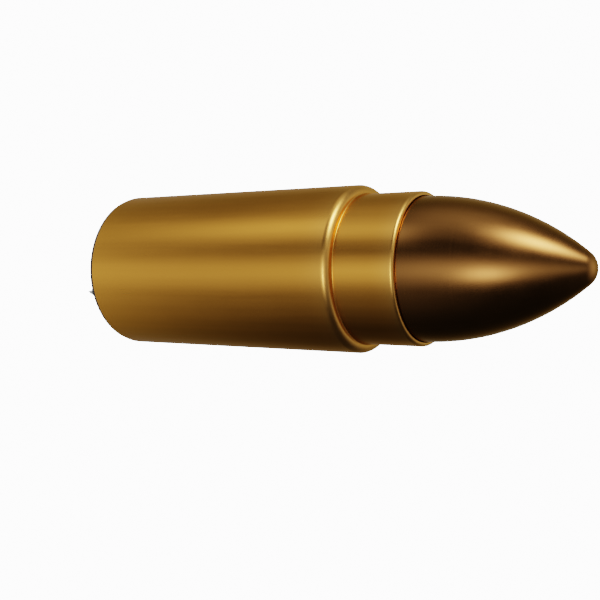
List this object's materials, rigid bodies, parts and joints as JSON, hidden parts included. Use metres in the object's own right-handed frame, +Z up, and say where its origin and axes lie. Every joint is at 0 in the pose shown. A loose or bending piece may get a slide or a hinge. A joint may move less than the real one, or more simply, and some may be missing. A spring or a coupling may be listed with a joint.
{
  "type": "headphone hook",
  "caption": "Round brass wall peg with a stepped neck and a screw-off rounded nose, standing straight out of a wall to hold headphones by their headband.",
  "frame": {"origin": "centre of the back face, where the hook's axis meets the wall", "axes": "-Y out from the wall along the hook's axis, +Z up, +X to the right seen from in front of the nose"},
  "size_m": [0.056, 0.1898, 0.056],
  "materials": {
    "satin_brass": "satin",
    "burnished_brass": "satin",
    "turned_brass": "satin",
    "zinc_steel": "satin",
    "spring_steel": "satin",
    "black_rubber": "matte",
    "nylon": "satin"
  },
  "bodies": {
    "case": {"case_shell": "satin_brass", "neck_insert": "turned_brass", "wall_ring": "black_rubber", "wall_plate": "zinc_steel", "wall_screw_1": "zinc_steel", "wall_screw_2": "zinc_steel", "wall_screw_3": "zinc_steel", "tie_rod": "zinc_steel", "rod_lock_nut": "zinc_steel", "rod_washer": "zinc_steel", "rod_spring_washer": "spring_steel", "rod_nut": "zinc_steel"},
    "tip_seals": {"tip_slip_washer": "nylon", "tip_seal_ring": "black_rubber"},
    "tip": {"tip_shell": "burnished_brass", "tip_plug": "turned_brass", "tip_screw": "zinc_steel", "tip_screw_washer": "spring_steel"}
  },
  "joints": [
    {"name": "tip_travel", "type": "slide", "parent": "case", "child": "tip_seals", "axis": [0, -1, 0], "range_m": [0, 0.0075]},
    {"name": "tip_turn", "type": "hinge", "parent": "tip_seals", "child": "tip", "pos_m": [0, -0.1216, 0], "axis": [0, -1, 0], "range_deg": [0, 1080]}
  ],
  "couplings": [
    {"joint": "tip_travel", "follows": "tip_turn", "m_per_rad": 0.00039788}
  ]
}
